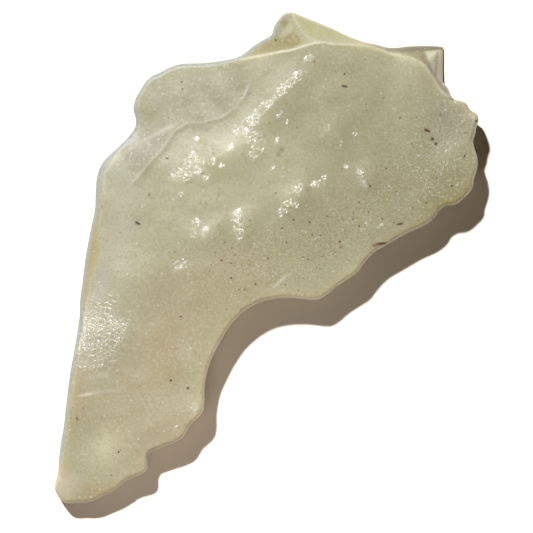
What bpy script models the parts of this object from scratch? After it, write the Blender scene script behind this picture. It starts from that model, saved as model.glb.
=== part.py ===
"""Libyan desert glass: one wind-worn slab of natural silica glass, lying on its broad underside.

Metres, +Z up. The origin is on the surface that the stone rests on, under the middle of the
stone's box. +Y runs towards the broken back edge, and the narrow arm points to -Y and -X.
Every length in the tables below is in millimetres.
"""

import math

import bmesh
import bpy
import numpy as np
from mathutils import Vector, noise
from mathutils.geometry import intersect_point_line

MM = 0.001

# ---------------------------------------------------------------- driving dimensions, in mm
SLAB_THICKNESS = 1.4  # the flat blank that the outline is cut from, before its faces are shaped
OUTLINE_STEPS = 5  # straight steps between two of the outline's points
VOXEL = 0.45  # spacing of the blank's points
CREST_SNAP = 0.25  # points this near to a crest are moved on to it
MOST_TRIANGLES = 9400
LEAST_THICKNESS = 0.5
RIM_OVER, RIM_UNDER = 0.25, 0.45  # glass above and below the outline's own height
RIM_CHAMFER = 0.9  # width of the worn chamfer round the upper face
CHAMFER_WIDTHS, CHAMFER_HEIGHTS = (0, 0.4, 1), (0.1, 0.68, 1)  # its two facets, as shares
EDGE_FALL, EDGE_DROP = 4.0, 0.55  # how far in the upper face starts to fall, and its share there
KEEL_REACH = 7.0  # how far in the underside takes to come down to the ground
KEEL_POWER = 1.35  # 1 is a straight flank, and more hollows it out
KEEL_CENTRE, KEEL_RADIUS, KEEL_RISE = (-1.5, 6.5), 20.0, 1.1  # the underside's slight bow
GROUND_SINK = 0.4  # how far the keel would reach below the ground, were it not worn flat there

# The outline, seen from above, anticlockwise from the arm's tip. "sharp" marks a corner.
OUTLINE = [
    # the tip of the arm
    (-26.4, -32.0), (-24.8, -32.0), (-23.0, -31.9), (-21.2, -31.1), (-19.7, -30.3),
    (-17.9, -28.9), (-16.0, -28.1), (-15.5, -27.5), (-15.4, -25.9), (-15.2, -25.4, "sharp"),
    # the arm's inner side, up into the bay
    (-13.7, -24.8), (-11.7, -24.0), (-10.7, -23.2), (-9.9, -21.8), (-8.4, -20.2),
    (-8.15, -19.3), (-8.1, -17.2), (-7.7, -14.7), (-6.9, -12.7), (-5.1, -9.4),
    (-3.5, -7.5), (-1.7, -6.2), (0.0, -5.55), (3.0, -5.25), (4.6, -5.4),
    # the scalloped front edge
    (6.5, -5.5), (7.6, -5.0), (8.9, -3.9), (10.4, -2.9), (11.8, -1.9), (12.7, -0.7),
    (13.9, 0.6), (15.6, 1.6), (18.4, 3.2), (20.9, 4.4), (22.2, 5.7), (22.35, 6.1, "sharp"),
    # the blunt right end
    (23.1, 6.6), (24.4, 6.8), (25.7, 7.8), (26.7, 9.0), (26.9, 10.2), (27.3, 11.5),
    (27.35, 12.9), (26.9, 14.5), (26.8, 15.2, "sharp"), (27.05, 15.9), (27.3, 17.0),
    (27.6, 17.8, "sharp"), (27.35, 18.7), (26.5, 19.2), (25.9, 20.15), (24.2, 20.6, "sharp"),
    # the broken back: a corner block, then a peak
    (23.9, 21.6), (23.3, 22.6), (22.95, 22.9, "sharp"), (23.0, 25.2), (23.1, 27.55, "sharp"),
    (21.4, 27.65), (18.6, 27.6), (16.0, 27.4), (14.3, 27.8), (12.7, 28.1, "sharp"),
    (11.0, 28.7), (9.0, 29.6), (5.3, 31.2), (4.3, 31.6), (3.3, 31.95), (2.4, 31.85),
    (1.5, 31.0), (0.9, 30.0), (0.65, 28.95, "sharp"),
    # the smooth lobe on the left of the back
    (-0.5, 28.35), (-1.8, 27.5), (-3.2, 26.4), (-4.2, 25.95), (-6.2, 25.55), (-8.5, 25.3),
    (-11.1, 25.2), (-12.3, 24.9), (-14.1, 24.0), (-15.3, 23.4), (-16.3, 22.1),
    (-17.2, 20.4), (-17.4, 19.4), (-17.1, 18.1), (-17.1, 17.2), (-17.8, 16.0),
    (-18.9, 14.8), (-20.2, 13.6), (-21.2, 12.6), (-22.0, 11.0),
    # the long left side, down to the tip
    (-22.3, 8.6), (-22.4, 6.2), (-22.85, 4.1), (-23.25, 2.1), (-23.7, -0.6), (-24.0, -3.1),
    (-24.35, -5.9), (-24.35, -7.3), (-24.6, -9.2), (-25.1, -12.2), (-25.6, -15.0),
    (-26.1, -18.6), (-26.5, -22.0), (-26.9, -24.3), (-27.2, -27.0), (-27.3, -28.4),
    (-27.6, -29.3), (-27.65, -30.3), (-27.3, -31.1),
]

# Places on the stone: x, y, height of the upper face there, height of the nearest rim.
PLACES = {
    "tip": (-26.2, -30.2, 4.7, 3.4),
    "low_arm": (-19.1, -23.7, 6.0, 3.9),
    "arm": (-16.5, -14.6, 6.4, 4.4),
    "arm_left": (-22.3, -9.4, 5.9, 3.9),
    "left_shoulder": (-19.1, 2.3, 6.2, 3.4),
    "lobe": (-13.9, 20.5, 5.3, 3.5),
    "shoulder": (-10.0, 6.2, 7.3, 4.6),
    "ridge": (-3.5, 14.0, 7.9, 4.6),
    "centre": (4.3, 7.5, 8.2, 5.2),
    "bay": (-0.9, -1.6, 7.0, 5.1),
    "front": (8.2, -1.6, 6.9, 5.7),
    "back_rim": (8.2, 25.7, 8.1, 3.2),
    "right_back": (19.0, 23.5, 8.2, 2.9),
    "right_corner": (26.8, 18.4, 7.1, 6.0),
    "right_end": (25.1, 13.0, 7.3, 6.3),
    "right_front": (21.2, 6.2, 7.0, 6.2),
}
PLACE_REACH = 5.5

# Long low swells in the upper face: x, y, heading in degrees, length, width, height.
SWELLS = [
    (1.2, 20.3, 46, 9.5, 2.2, 0.42),
    (-5.2, 13.0, 28, 7.5, 2.4, 0.50),
    (3.6, 7.4, 55, 5.0, 1.9, 0.36),
    (-3.0, 3.9, 78, 4.4, 1.6, 0.34),
    (-7.2, 3.0, 64, 4.0, 1.7, 0.26),
    (13.4, 10.6, 62, 4.2, 1.9, 0.30),
    (9.0, 16.4, 60, 6.0, 2.0, 0.22),
    (-19.6, -10.4, 70, 6.0, 3.4, 0.40),
    (-15.6, -2.6, 80, 7.0, 2.4, 0.22),
    (-12.5, -21.0, 60, 6.0, 2.6, 0.18),
]

# Flake scars, struck off as shallow dishes with crisp borders: x, y, radius, depth.
UPPER_SCARS = [
    (-8.2, 22.4, 5.6, 0.75),
    (-19.0, 2.4, 3.4, 0.42),
    (-20.6, -24.0, 4.6, 0.30),
    (24.6, 15.4, 3.6, 0.30),
    (8.6, -1.6, 3.6, 0.22),
    (-10.6, -17.8, 3.2, 0.22),
]
UNDER_SCARS = [
    (24.0, 11.5, 7.5, 1.3),
    (15.5, 3.5, 7.0, 1.3),
    (6.5, -2.5, 6.0, 1.1),
    (-3.6, -5.0, 6.4, 1.2),
    (-10.0, -15.5, 5.5, 1.0),
    (-17.0, -27.0, 5.0, 0.8),
    (-25.0, -19.0, 5.2, 0.9),
    (-23.5, -6.0, 7.4, 1.2),
    (-20.5, 8.0, 7.2, 1.3),
    (-13.5, 20.0, 6.2, 1.2),
    (-2.5, 25.0, 6.6, 1.1),
    (9.0, 25.5, 5.2, 1.0),
    (19.0, 22.5, 6.4, 1.1),
    (8.5, 17.5, 4.6, 0.7),
    (-11.5, 1.5, 3.6, 0.6),
]

SCAR_DRIFT = [(9.0, 3.4), (3.5, 0.7)]  # how far the scars' outlines wander: wavelength, distance
UPPER_SCAR_SEED, UNDER_SCAR_SEED = 21.4, 31.9
SCAR_WEAR = 0.09  # how worn the ridges between them are

# Crests along which the upper face drops on the right-hand side of the line, as it runs.
LOBE_CREST = [
    (-18.6, 8.6), (-16.9, 10.3), (-15.0, 12.5), (-13.3, 14.4), (-11.8, 16.6), (-10.4, 17.4),
    (-8.4, 17.5), (-5.8, 18.2), (-4.1, 19.4), (-2.9, 21.0), (-2.2, 22.8),
]
CREST_DROP, CREST_WIDTH, CREST_RECOVERY, CREST_TAPER = 0.55, 0.9, 4.2, 3.0

# The rim of the upper face above the broken back. The back wall runs from it to the outline.
BACK_RIM = [
    (-6.6, 25.9), (-2.8, 25.8), (-1.2, 26.1), (1.0, 26.5), (3.6, 27.0), (5.4, 27.6), (6.8, 27.9),
    (8.5, 27.7), (11.0, 27.6), (13.6, 27.4), (15.7, 26.5), (18.4, 26.0), (19.7, 25.5),
    (20.5, 24.9), (21.2, 23.8), (21.8, 22.9), (22.7, 21.5), (23.45, 20.9), (24.2, 20.6),
    (25.5, 21.2),
]
BACK_START = -6.5  # x where the broken back begins
BACK_LIP = 0.45  # how strong the low lip along that rim is, against the lobe's crest
CRESTS = [LOBE_CREST, BACK_RIM[1:-1]]
# The long bevel down the left side: a line of x, y and the bevel's width there.
LEFT_BEVEL = [
    (-17.2, 18.2, 0.4), (-22.0, 11.0, 1.2), (-22.4, 6.2, 1.2), (-22.9, 3.4, 2.2),
    (-23.5, 0.5, 3.0), (-24.0, -3.1, 1.6), (-25.1, -12.2, 0.9), (-26.5, -22.0, 0.8),
    (-27.3, -28.4, 0.8),
]
LEFT_BEVEL_DROP = 0.85  # how far down to the rim the bevel goes, as a share

# Low relief over all faces: size of the lumps, their height.
UPPER_LUMPS, UPPER_SEED = [(7.5, 0.22), (2.8, 0.10)], 3.7
UNDER_LUMPS, UNDER_SEED = [(9.0, 0.75), (3.4, 0.25)], 11.3

GLASS_COLOUR = (0.62, 0.57, 0.36, 1.0)
GLASS_ROUGHNESS = 0.3
GLASS_IOR = 1.462


# ---------------------------------------------------------------- the blank
def outline_curve():
    """The outline as a filled curve, smooth except at its sharp corners."""
    data = bpy.data.curves.new("outline", "CURVE")
    data.dimensions = "2D"
    data.fill_mode = "BOTH"
    data.extrude = SLAB_THICKNESS / 2 * MM
    data.resolution_u = OUTLINE_STEPS
    spline = data.splines.new("BEZIER")
    spline.bezier_points.add(len(OUTLINE) - 1)
    for point, place in zip(spline.bezier_points, OUTLINE):
        point.co = (place[0] * MM, place[1] * MM, 0)
        kind = "VECTOR" if "sharp" in place else "AUTO"
        point.handle_left_type = point.handle_right_type = kind
    spline.use_cyclic_u = True
    curve = bpy.data.objects.new("outline", data)
    bpy.context.scene.collection.objects.link(curve)
    return curve


def evaluated_mesh(item):
    """A new mesh of the object as its modifiers leave it."""
    graph = bpy.context.evaluated_depsgraph_get()
    return bpy.data.meshes.new_from_object(item.evaluated_get(graph))


def outline_path(curve):
    """The smooth outline as a line of points in mm, whose last point is its first again."""
    curve.data.fill_mode = "NONE"
    curve.data.extrude = 0
    graph = bpy.context.evaluated_depsgraph_get()
    mesh = bpy.data.meshes.new_from_object(curve.evaluated_get(graph))
    points = np.array([v.co[:2] for v in mesh.vertices]) / MM
    return np.vstack([points, points[:1]])


# ---------------------------------------------------------------- distances and blends
def line_distance(points, line):
    """Each point's distance to the line, its side (+1 left, -1 right), and how far along it is."""
    nearest = np.full(len(points), np.inf)
    side = np.ones(len(points))
    reached = np.zeros(len(points))
    passed = 0.0
    for a, b in zip(line, line[1:]):
        along = b - a
        length = math.hypot(*along)
        if length < 1e-6:
            continue
        share = np.clip((points - a) @ along / length**2, 0, 1)
        away = points - a - share[:, None] * along
        distance = np.hypot(away[:, 0], away[:, 1])
        cross = along[0] * away[:, 1] - along[1] * away[:, 0]
        closer = distance < nearest
        nearest[closer] = distance[closer]
        side[closer] = np.where(cross[closer] >= 0, 1, -1)
        reached[closer] = passed + share[closer] * length
        passed += length
    return nearest, side, reached


def soft_inset(points, path):
    """How deep inside the outline each point lies, as a smooth field with no creases.

    Near a straight edge it is the plain distance. It sums 1 / distance^4 along the outline, which
    for an endless straight edge comes to (pi / 2) / distance^3.
    """
    steps = np.diff(path, axis=0)
    lengths = np.hypot(steps[:, 0], steps[:, 1])
    middles = path[:-1] + steps / 2
    total = np.zeros(len(points))
    for middle, length in zip(middles, lengths):
        squared = ((points - middle) ** 2).sum(axis=1) + (length / 2) ** 2
        total += length / squared**2
    return (total / (math.pi / 2)) ** (-1 / 3)


def smooth_step(x):
    """0 up to 0, 1 from 1 on, and a smooth rise between."""
    x = np.clip(x, 0, 1)
    return x * x * (3 - 2 * x)


def place_blend(points, column):
    """A value of PLACES, blended smoothly over the stone."""
    total = np.zeros(len(points))
    weights = np.zeros(len(points))
    for place in PLACES.values():
        squared = ((points - place[:2]) ** 2).sum(axis=1)
        weight = np.exp(-squared / (2 * PLACE_REACH**2)) + 1e-9
        total += weight * place[column]
        weights += weight
    return total / weights


def lumps(points, sizes, seed):
    """Low rolling relief: a sum of smooth noise of the given sizes and heights."""
    height = np.zeros(len(points))
    for size, amount in sizes:
        for i, (x, y) in enumerate(points):
            height[i] += amount * noise.noise(Vector((x / size, y / size, seed)))
    return height


def scars(points, dishes, seed):
    """How much the flake scars take off. Their outlines wander, and the ridges between are worn."""
    drift = np.column_stack([lumps(points, SCAR_DRIFT, seed), lumps(points, SCAR_DRIFT, seed + 5)])
    total = np.ones(len(points))
    for x, y, radius, depth in dishes:
        away = points + drift - (x, y)
        inside = depth * (1 - (away**2).sum(axis=1) / radius**2)
        total += np.exp(np.maximum(inside, -10 * SCAR_WEAR) / SCAR_WEAR)
    return SCAR_WEAR * np.log(total)


def swells(points):
    """The low swells of the upper face: long hills that fade out all round."""
    raised = np.zeros(len(points))
    for x, y, heading, length, width, height in SWELLS:
        turn = math.radians(heading)
        dx, dy = points[:, 0] - x, points[:, 1] - y
        along = dx * math.cos(turn) + dy * math.sin(turn)
        across = -dx * math.sin(turn) + dy * math.cos(turn)
        raised += height * np.exp(-((2 * along / length) ** 2) - (across / width) ** 2)
    return raised


def crest(points, line):
    """The drop on a crest's right-hand side: steep at the line, recovered further out."""
    distance, side, reached = line_distance(points, np.array(line))
    out = np.where(side < 0, distance, 0)
    fade = smooth_step(np.minimum(reached, reached.max() - reached) / CREST_TAPER)
    return fade * CREST_DROP * (1 - np.exp(-out / CREST_WIDTH)) * np.exp(-out / CREST_RECOVERY)


# ---------------------------------------------------------------- the faces
def back_wall(points, top, rim, inset):
    """The broken back: straight fracture faces from the upper face's rim down to the outline.

    A point part of the way between the two lines has its height part of the way between
    theirs, so the faces meet in a ridge wherever either line turns a corner.
    """
    distance, side, _ = line_distance(points, np.array(BACK_RIM))
    behind = (points[:, 0] > BACK_START) & (side > 0)
    share = distance / (distance + inset + 1e-6)
    return np.where(behind, top + (rim + RIM_OVER - top) * share, top)


def left_bevel(points, top, rim):
    """The bevel down the left side, as wide at each height as its table says."""
    line = np.array([place[:2] for place in LEFT_BEVEL])
    widths = np.array([place[2] for place in LEFT_BEVEL])
    distance, _, _ = line_distance(points, line)
    width = np.interp(-points[:, 1], -line[:, 1], widths)
    fall = np.clip(1 - distance / width, 0, 1)
    return top - LEFT_BEVEL_DROP * fall * (top - rim)


def upper_face(points, inset, depth):
    """Height of the upper face, from the middle of the stone out to its chamfered rim."""
    rim = place_blend(points, 3)
    top = place_blend(points, 2) + swells(points) + lumps(points, UPPER_LUMPS, UPPER_SEED)
    top -= scars(points, UPPER_SCARS, UPPER_SCAR_SEED)
    top -= crest(points, LOBE_CREST) + BACK_LIP * crest(points, BACK_RIM)
    top = left_bevel(points, top, rim)
    fall = 1 - smooth_step(depth / EDGE_FALL)
    top -= EDGE_DROP * fall * (top - rim - RIM_OVER)
    top = back_wall(points, top, rim, inset)
    top = np.maximum(top, rim + RIM_OVER)
    chamfer = np.interp(inset / RIM_CHAMFER, CHAMFER_WIDTHS, CHAMFER_HEIGHTS)
    return rim + (top - rim) * chamfer


def under_face(points, inset, depth):
    """Height of the underside: a bowed keel, worn flat where the stone rests, and its flanks."""
    rim = place_blend(points, 3)
    rise = 1 - np.clip(depth / KEEL_REACH, 0, 1)
    out = np.hypot(points[:, 0] - KEEL_CENTRE[0], points[:, 1] - KEEL_CENTRE[1])
    ground = KEEL_RISE * smooth_step(out / KEEL_RADIUS) - GROUND_SINK
    keel = ground + (rim - RIM_UNDER - ground) * rise**KEEL_POWER
    rounding = np.clip(inset / (2 * RIM_CHAMFER), 0, 1)
    relief = lumps(points, UNDER_LUMPS, UNDER_SEED)
    relief += scars(points, UNDER_SCARS, UNDER_SCAR_SEED)
    return keel + relief * rounding


def snap_to_crests(mesh):
    """Slides the upper points nearest to each crest on to it, so that the crest is a clean edge."""
    work = bmesh.new()
    work.from_mesh(mesh)
    upper = [vert for vert in work.verts if vert.co.z > 0.9 * SLAB_THICKNESS / 2 * MM]
    for line in CRESTS:
        places = [Vector((x, y, 0)) * MM for x, y in line]
        on_line = []
        for vert in upper:
            level = Vector((vert.co.x, vert.co.y, 0))
            nearest, gap = None, CREST_SNAP * MM
            for a, b in zip(places, places[1:]):
                _, share = intersect_point_line(level, a, b)
                spot = a + (b - a) * min(max(share, 0), 1)
                if (spot - level).length < gap:
                    nearest, gap = spot, (spot - level).length
            if nearest is not None:
                vert.co.xy = nearest.xy
                on_line.append(vert)
        bmesh.ops.connect_verts(work, verts=on_line)
    work.to_mesh(mesh)
    work.free()


def shape_faces(mesh, path):
    """Moves the flat blank's points to the stone's upper face, underside and rim."""
    snap_to_crests(mesh)
    flat = np.empty(len(mesh.vertices) * 3)
    mesh.vertices.foreach_get("co", flat)
    flat = flat.reshape(-1, 3) / MM
    points = flat[:, :2]
    inset, _, _ = line_distance(points, path)
    depth = soft_inset(points, path)
    share = np.clip(flat[:, 2] / SLAB_THICKNESS + 0.5, 0, 1)
    low = under_face(points, inset, depth)
    high = np.maximum(upper_face(points, inset, depth), low + LEAST_THICKNESS)
    shaped = np.column_stack([points, low + (high - low) * share])
    middle = (shaped.min(axis=0) + shaped.max(axis=0)) / 2
    shaped[:, :2] -= middle[:2]
    mesh.vertices.foreach_set("co", (shaped * MM).ravel())
    mesh.update()


def wear_flat(mesh):
    """Takes off what lies below the ground, which leaves the flat face that the stone rests on."""
    work = bmesh.new()
    work.from_mesh(mesh)
    everything = work.verts[:] + work.edges[:] + work.faces[:]
    cut = bmesh.ops.bisect_plane(
        work, geom=everything, dist=1e-6, plane_co=(0, 0, 0), plane_no=(0, 0, 1), clear_inner=True
    )
    loop = [item for item in cut["geom_cut"] if isinstance(item, bmesh.types.BMEdge)]
    bmesh.ops.edgeloop_fill(work, edges=loop)
    work.to_mesh(mesh)
    work.free()


def glass_material():
    material = bpy.data.materials.new("desert_glass")
    material.use_nodes = True
    shader = material.node_tree.nodes["Principled BSDF"]
    shader.inputs["Base Color"].default_value = GLASS_COLOUR
    shader.inputs["Roughness"].default_value = GLASS_ROUGHNESS
    shader.inputs["Metallic"].default_value = 0.0
    shader.inputs["IOR"].default_value = GLASS_IOR
    return material


def glass_stone():
    """The whole stone, as one solid."""
    curve = outline_curve()
    bpy.context.view_layer.update()
    stone = bpy.data.objects.new("desert_glass", evaluated_mesh(curve))
    path = outline_path(curve)
    bpy.data.objects.remove(curve)
    bpy.context.scene.collection.objects.link(stone)

    weld = stone.modifiers.new("Weld", "WELD")
    weld.merge_threshold = 0.00001
    remesh = stone.modifiers.new("Remesh", "REMESH")
    remesh.mode = "VOXEL"
    remesh.voxel_size = VOXEL * MM
    bpy.context.view_layer.update()
    gridded = evaluated_mesh(stone)
    stone.modifiers.clear()
    stone.data = gridded
    shape_faces(gridded, path)

    thin = stone.modifiers.new("Decimate", "DECIMATE")
    thin.ratio = min(1.0, MOST_TRIANGLES / (2 * len(gridded.polygons)))
    bpy.context.view_layer.update()
    thinned = evaluated_mesh(stone)
    stone.modifiers.clear()
    stone.data = thinned
    wear_flat(thinned)
    thinned.materials.append(glass_material())
    return stone


def main():
    for item in list(bpy.data.objects):
        bpy.data.objects.remove(item)
    stone = glass_stone()
    collection = bpy.data.collections.new("libyan_desert_glass")
    bpy.context.scene.collection.children.link(collection)
    bpy.context.scene.collection.objects.unlink(stone)
    collection.objects.link(stone)


main()
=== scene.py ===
import math

import bmesh
import bpy
import numpy as np
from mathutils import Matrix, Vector, noise
from mathutils.geometry import intersect_point_line


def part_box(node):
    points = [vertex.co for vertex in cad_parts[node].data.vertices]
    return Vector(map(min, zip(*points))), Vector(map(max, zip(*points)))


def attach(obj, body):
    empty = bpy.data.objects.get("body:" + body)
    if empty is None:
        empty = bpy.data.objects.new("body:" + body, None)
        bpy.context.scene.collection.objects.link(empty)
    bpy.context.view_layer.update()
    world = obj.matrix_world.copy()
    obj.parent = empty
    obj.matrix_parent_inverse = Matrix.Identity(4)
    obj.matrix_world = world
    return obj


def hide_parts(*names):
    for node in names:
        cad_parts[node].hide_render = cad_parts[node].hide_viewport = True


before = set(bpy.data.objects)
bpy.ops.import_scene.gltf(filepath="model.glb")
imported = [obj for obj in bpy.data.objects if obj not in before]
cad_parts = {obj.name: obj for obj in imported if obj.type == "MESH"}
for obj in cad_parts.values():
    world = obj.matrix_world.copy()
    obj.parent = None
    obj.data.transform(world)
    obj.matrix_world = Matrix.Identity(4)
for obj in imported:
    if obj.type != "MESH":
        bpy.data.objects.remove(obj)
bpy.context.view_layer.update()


# ================================================================ the camera
# A long lens looks straight down on the stone, as one photographs a specimen on a copy stand.
# The picture is square, 533 pixels a side, and takes in 69.3 mm at the height of the stone's edge.
MM = 0.001
LENS, SENSOR = 400.0, 36.0
VIEW_WIDTH = 69.3 * MM
EDGE_HEIGHT = 4.5 * MM
AIM = (0.0, -1.12 * MM)

lens = bpy.data.cameras.new("copy_stand_lens")
lens.lens = LENS
lens.sensor_width = SENSOR
lens.clip_start = 0.01
camera = bpy.data.objects.new("copy_stand_camera", lens)
camera.location = (*AIM, EDGE_HEIGHT + VIEW_WIDTH * LENS / SENSOR)
bpy.context.scene.collection.objects.link(camera)
bpy.context.scene.camera = camera
bpy.context.scene.view_settings.view_transform = "Standard"


# ================================================================ the stone
# One piece of natural silica glass, broken off a larger slab and then worn by wind-blown sand.
# Its upper face is low and rolling, its left and upper edges are frosted, and its back is a fresh
# break. Lengths are in millimetres, x to the right and y up the picture, from the box's middle.
SLAB_THICKNESS = 1.0  # the flat blank that the outline is cut from, before its faces are shaped
OUTLINE_STEPS = 6
WELD_GAP = 0.01
VOXEL = 0.215  # spacing of the blank's points, under two pixels of the picture
EDGE_SMOOTHING, EDGE_BAND = 4, 0.4  # how often, and how far in, the stepped edge is evened out
UPPER_SIDE = 0.9  # of the way from the blank's middle to its upper face
CREST_SNAP = 0.11

OUTLINE = [
    # the tip of the arm
    (-26.4, -32.0), (-24.8, -32.0), (-23.0, -31.9), (-21.2, -31.1), (-19.7, -30.3),
    (-17.9, -28.9), (-16.0, -28.1), (-15.5, -27.5), (-15.4, -25.9), (-15.2, -25.4, "sharp"),
    # the arm's inner side, up into the bay
    (-13.7, -24.8), (-11.7, -24.0), (-10.7, -23.2), (-9.9, -21.8), (-8.4, -20.2),
    (-8.15, -19.3), (-8.1, -17.2), (-7.7, -14.7), (-6.9, -12.7), (-5.1, -9.4),
    (-3.5, -7.5), (-1.7, -6.2), (0.0, -5.55), (3.0, -5.25), (4.6, -5.4),
    # the scalloped front edge
    (6.5, -5.5), (7.6, -5.0), (8.9, -3.9), (10.4, -2.9), (11.8, -1.9), (12.7, -0.7),
    (13.9, 0.6), (15.6, 1.6), (18.4, 3.2), (20.9, 4.4), (22.2, 5.7), (22.35, 6.1, "sharp"),
    # the blunt right end
    (23.1, 6.6), (24.4, 6.8), (25.7, 7.8), (26.7, 9.0), (26.9, 10.2), (27.3, 11.5),
    (27.35, 12.9), (26.9, 14.5), (26.8, 15.2, "sharp"), (27.05, 15.9), (27.3, 17.0),
    (27.6, 17.8, "sharp"), (27.35, 18.7), (26.5, 19.2), (25.9, 20.15), (24.2, 20.6, "sharp"),
    # the broken back: a corner block, then a peak
    (23.9, 21.6), (23.3, 22.6), (22.95, 22.9, "sharp"), (23.0, 25.2), (23.1, 27.55, "sharp"),
    (21.4, 27.65), (18.6, 27.6), (16.0, 27.4), (14.3, 27.8), (12.7, 28.1, "sharp"),
    (11.0, 28.7), (9.0, 29.6), (5.3, 31.2), (4.3, 31.6), (3.3, 31.95), (2.4, 31.85),
    (1.5, 31.0), (0.9, 30.0), (0.65, 28.95, "sharp"),
    # the smooth lobe on the left of the back
    (-0.5, 28.35), (-1.8, 27.5), (-3.2, 26.4), (-4.2, 25.95), (-6.2, 25.55), (-8.5, 25.3),
    (-11.1, 25.2), (-12.3, 24.9), (-14.1, 24.0), (-15.3, 23.4), (-16.3, 22.1),
    (-17.2, 20.4), (-17.4, 19.4), (-17.1, 18.1), (-17.1, 17.2), (-17.8, 16.0),
    (-18.9, 14.8), (-20.2, 13.6), (-21.2, 12.6), (-22.0, 11.0),
    # the long left side, down to the tip
    (-22.3, 8.6), (-22.4, 6.2), (-22.85, 4.1), (-23.25, 2.1), (-23.7, -0.6), (-24.0, -3.1),
    (-24.35, -5.9), (-24.35, -7.3), (-24.6, -9.2), (-25.1, -12.2), (-25.6, -15.0),
    (-26.1, -18.6), (-26.5, -22.0), (-26.9, -24.3), (-27.2, -27.0), (-27.3, -28.4),
    (-27.6, -29.3), (-27.65, -30.3), (-27.3, -31.1),
]

# Crests along which the upper face drops on the right-hand side of the line, as it runs.
LOBE_CREST = [
    (-18.6, 8.6), (-16.9, 10.3), (-15.0, 12.5), (-13.3, 14.4), (-11.8, 16.6), (-10.4, 17.4),
    (-8.4, 17.5), (-5.8, 18.2), (-4.1, 19.4), (-2.9, 21.0), (-2.2, 22.8),
]
# The rim of the upper face above the broken back. The back wall runs from it to the outline.
BACK_RIM = [
    (-6.6, 25.9), (-2.8, 25.8), (-1.2, 26.1), (1.0, 26.5), (3.6, 27.0), (5.4, 27.6), (6.8, 27.9),
    (8.5, 27.7), (11.0, 27.6), (13.6, 27.4), (15.7, 26.5), (18.4, 26.0), (19.7, 25.5),
    (20.5, 24.9), (21.2, 23.8), (21.8, 22.9), (22.7, 21.5), (23.45, 20.9), (24.2, 20.6),
    (25.5, 21.2),
]


def evaluated_mesh(item):
    """A new mesh of the object as its modifiers leave it."""
    graph = bpy.context.evaluated_depsgraph_get()
    return bpy.data.meshes.new_from_object(item.evaluated_get(graph))


# The blank: the outline as a filled curve, given a thickness and an even mesh of small squares.
outline = bpy.data.curves.new("outline", "CURVE")
outline.dimensions = "2D"
outline.fill_mode = "BOTH"
outline.extrude = SLAB_THICKNESS / 2 * MM
outline.resolution_u = OUTLINE_STEPS
spline = outline.splines.new("BEZIER")
spline.bezier_points.add(len(OUTLINE) - 1)
for point, place in zip(spline.bezier_points, OUTLINE):
    point.co = (place[0] * MM, place[1] * MM, 0)
    kind = "VECTOR" if "sharp" in place else "AUTO"
    point.handle_left_type = point.handle_right_type = kind
spline.use_cyclic_u = True
outline_curve = bpy.data.objects.new("outline", outline)
bpy.context.scene.collection.objects.link(outline_curve)
bpy.context.view_layer.update()

stone = bpy.data.objects.new("glass_slab", evaluated_mesh(outline_curve))
bpy.context.scene.collection.objects.link(stone)
outline.fill_mode = "NONE"
outline.extrude = 0
edge = np.array([v.co[:2] for v in evaluated_mesh(outline_curve).vertices]) / MM
edge = np.vstack([edge, edge[:1]])
bpy.data.objects.remove(outline_curve)

weld = stone.modifiers.new("Weld", "WELD")
weld.merge_threshold = WELD_GAP * MM
remesh = stone.modifiers.new("Remesh", "REMESH")
remesh.mode = "VOXEL"
remesh.voxel_size = VOXEL * MM
bpy.context.view_layer.update()
gridded = evaluated_mesh(stone)
stone.modifiers.clear()
stone.data = gridded


def line_distance(points, line):
    """Each point's distance to the line, its side (+1 left, -1 right), and how far along it is."""
    nearest = np.full(len(points), np.inf)
    side = np.ones(len(points))
    reached = np.zeros(len(points))
    passed = 0.0
    for a, b in zip(line, line[1:]):
        along = b - a
        length = math.hypot(*along)
        if length < 1e-6:
            continue
        share = np.clip((points - a) @ along / length**2, 0, 1)
        away = points - a - share[:, None] * along
        distance = np.hypot(away[:, 0], away[:, 1])
        cross = along[0] * away[:, 1] - along[1] * away[:, 0]
        closer = distance < nearest
        nearest[closer] = distance[closer]
        side[closer] = np.where(cross[closer] >= 0, 1, -1)
        reached[closer] = passed + share[closer] * length
        passed += length
    return nearest, side, reached


def level_points(mesh):
    """The mesh's points in mm, as rows of x, y, z."""
    flat = np.empty(len(mesh.vertices) * 3)
    mesh.vertices.foreach_get("co", flat)
    return flat.reshape(-1, 3) / MM


# The blank's stepped edge is evened out, and points near the rim above the broken back are moved
# on to it, so that the rim is a clean line of edges.
work = bmesh.new()
work.from_mesh(gridded)
work.verts.ensure_lookup_table()
near_edge = line_distance(level_points(gridded)[:, :2], edge)[0] < EDGE_BAND
edge_verts = [work.verts[i] for i in np.flatnonzero(near_edge)]
for _ in range(EDGE_SMOOTHING):
    bmesh.ops.smooth_vert(work, verts=edge_verts, factor=0.5, use_axis_x=True, use_axis_y=True)
upper = [vert for vert in work.verts if vert.co.z > UPPER_SIDE * SLAB_THICKNESS / 2 * MM]
rim_places = [Vector((x, y, 0)) * MM for x, y in BACK_RIM[1:-1]]
on_rim = []
for vert in upper:
    level = Vector((vert.co.x, vert.co.y, 0))
    nearest, gap = None, CREST_SNAP * MM
    for a, b in zip(rim_places, rim_places[1:]):
        _, share = intersect_point_line(level, a, b)
        spot = a + (b - a) * min(max(share, 0), 1)
        if (spot - level).length < gap:
            nearest, gap = spot, (spot - level).length
    if nearest is not None:
        vert.co.xy = nearest.xy
        on_rim.append(vert)
bmesh.ops.connect_verts(work, verts=on_rim)
work.to_mesh(gridded)
work.free()

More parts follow.
